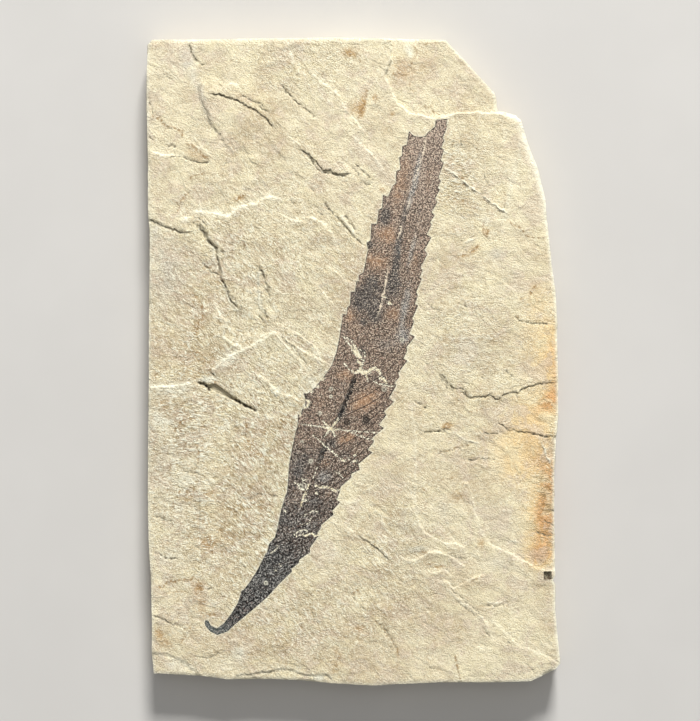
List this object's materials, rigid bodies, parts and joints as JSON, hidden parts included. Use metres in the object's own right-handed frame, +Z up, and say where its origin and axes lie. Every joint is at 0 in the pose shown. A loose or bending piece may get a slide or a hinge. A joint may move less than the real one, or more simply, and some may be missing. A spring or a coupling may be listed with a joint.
{
  "type": "fossil leaf plate",
  "caption": "Split slab of pale shale with a long, saw-toothed fossil leaf lying flush in its broken face.",
  "frame": {"origin": "middle of the footprint on the flat underside", "axes": "+Z up out of the face that carries the leaf, +Y along the slab's length towards the leaf's tip, +X to the right of the face"},
  "size_m": [0.1384, 0.2166, 0.0135],
  "materials": {
    "shale": "matt, finely granular split face",
    "leaf_film": "matt, dark brown carbon film"
  },
  "bodies": {
    "root": {"slab": "shale", "leaf": "leaf_film"}
  },
  "joints": []
}
